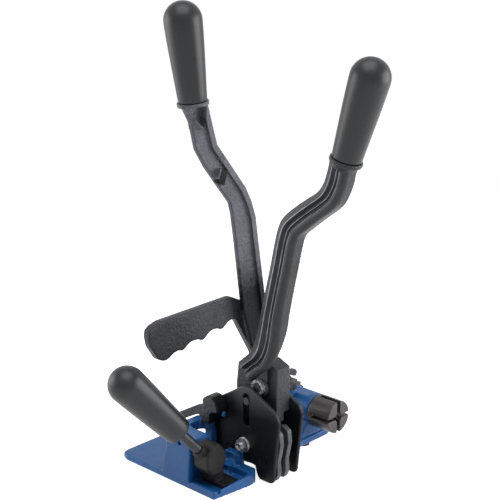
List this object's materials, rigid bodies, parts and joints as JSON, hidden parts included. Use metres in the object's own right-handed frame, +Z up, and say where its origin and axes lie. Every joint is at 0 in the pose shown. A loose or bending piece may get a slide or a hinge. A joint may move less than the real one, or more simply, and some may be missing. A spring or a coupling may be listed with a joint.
{
  "type": "strapping tensioner tool",
  "caption": "Hand strapping tool: ratchet lever and slotted windlass pull the strap, a side lever closes the jaws on the seal.",
  "frame": {"origin": "on the surface the tool stands on, under the middle of the front base plate across and about half way along the strap", "axes": "+Z up, +Y along the strap from the gripper to the windlass, +X towards the open side where the strap goes in"},
  "size_m": [0.24, 0.2441, 0.4122],
  "materials": {
    "blue_paint": "smooth blue enamel over a casting",
    "blackened_plate": "blackened steel plate, satin",
    "dark_casting": "dark grey cast steel, slightly rough",
    "grip_plastic": "satin dark grey moulding",
    "dark_steel": "dark oiled steel",
    "zinc_plate": "bright zinc plate",
    "pad_rubber": "black rubber"
  },
  "bodies": {
    "frame": {"base_casting": "blue_paint", "foot_pad_right": "pad_rubber", "foot_pad_left": "pad_rubber", "near_side_plate": "blackened_plate", "far_side_plate": "blackened_plate", "head_block": "dark_casting", "anvil": "blackened_plate", "jaw_pin_left": "blackened_plate", "jaw_pin_right": "blackened_plate", "centre_stud": "dark_steel", "stud_washer": "zinc_plate", "stud_nut": "zinc_plate", "plate_bolt_1": "dark_steel", "plate_bolt_2": "dark_steel", "finger_handle": "dark_casting", "handle_bolt_1": "dark_steel", "handle_bolt_2": "dark_steel", "lever_spacer": "dark_steel", "holding_pawl_pin": "dark_steel", "holding_pawl_nut": "zinc_plate", "strap_guide": "dark_casting", "gripper_pin": "dark_steel"},
    "windlass": {"windlass": "dark_steel", "ratchet_wheel": "dark_steel", "shaft_nut": "zinc_plate"},
    "tension_lever": {"tension_lever": "dark_casting", "tension_grip": "grip_plastic", "drive_pawl_pin": "dark_steel"},
    "drive_pawl": {"drive_pawl": "dark_steel"},
    "holding_pawl": {"holding_pawl": "dark_steel"},
    "sealing_lever": {"sealing_lever": "dark_casting", "sealing_grip": "grip_plastic", "sealing_pin": "dark_steel", "sealing_nut": "dark_steel"},
    "plunger": {"plunger": "blackened_plate", "plunger_pin": "zinc_plate"},
    "left_jaws": {"jaw_left_front": "dark_casting", "jaw_left_rear": "dark_casting"},
    "right_jaws": {"jaw_right_front": "dark_casting", "jaw_right_rear": "dark_casting"},
    "gripper": {"gripper_casting": "dark_casting", "gripper_rod": "dark_steel", "gripper_grip": "grip_plastic"}
  },
  "joints": [
    {"name": "windlass_spin", "type": "hinge", "parent": "frame", "child": "windlass", "pos_m": [0.0455, 0.062, 0.0314], "axis": [1, 0, 0], "continuous": true},
    {"name": "tension_lever_swing", "type": "hinge", "parent": "frame", "child": "tension_lever", "pos_m": [-0.0005, 0.062, 0.0314], "axis": [-1, 0, 0], "range_deg": [-12, 68]},
    {"name": "drive_pawl_lift", "type": "hinge", "parent": "tension_lever", "child": "drive_pawl", "pos_m": [0.0045, 0.046, 0.061], "axis": [1, 0, 0], "range_deg": [0, 18], "stiffness_Nm_per_rad": 0.05, "springref_deg": -11.46},
    {"name": "holding_pawl_lift", "type": "hinge", "parent": "frame", "child": "holding_pawl", "pos_m": [0.0099, 0.0485, 0.0535], "axis": [1, 0, 0], "range_deg": [0, 8], "stiffness_Nm_per_rad": 0.05, "springref_deg": -11.46},
    {"name": "sealing_lever_swing", "type": "hinge", "parent": "frame", "child": "sealing_lever", "pos_m": [0.054, -0.026, 0.084], "axis": [0, 1, 0], "range_deg": [0, 65]},
    {"name": "plunger_slide", "type": "slide", "parent": "frame", "child": "plunger", "axis": [0, 0, -1], "range_m": [0, 0.0175]},
    {"name": "left_jaw_turn", "type": "hinge", "parent": "frame", "child": "left_jaws", "pos_m": [0.0254, -0.02, 0.0194], "axis": [0, -1, 0], "range_deg": [0, 8]},
    {"name": "right_jaw_turn", "type": "hinge", "parent": "frame", "child": "right_jaws", "pos_m": [0.0662, -0.02, 0.0194], "axis": [0, 1, 0], "range_deg": [0, 8]},
    {"name": "gripper_swing", "type": "hinge", "parent": "frame", "child": "gripper", "pos_m": [0.041, -0.075, 0.027], "axis": [1, 0, 0], "range_deg": [0, 25], "stiffness_Nm_per_rad": 1, "springref_deg": -28.65}
  ],
  "couplings": [
    {"joint": "plunger_slide", "follows": "sealing_lever_swing", "m_per_rad": 0.0154},
    {"joint": "left_jaw_turn", "follows": "sealing_lever_swing", "ratio": 0.123},
    {"joint": "right_jaw_turn", "follows": "sealing_lever_swing", "ratio": 0.123}
  ]
}
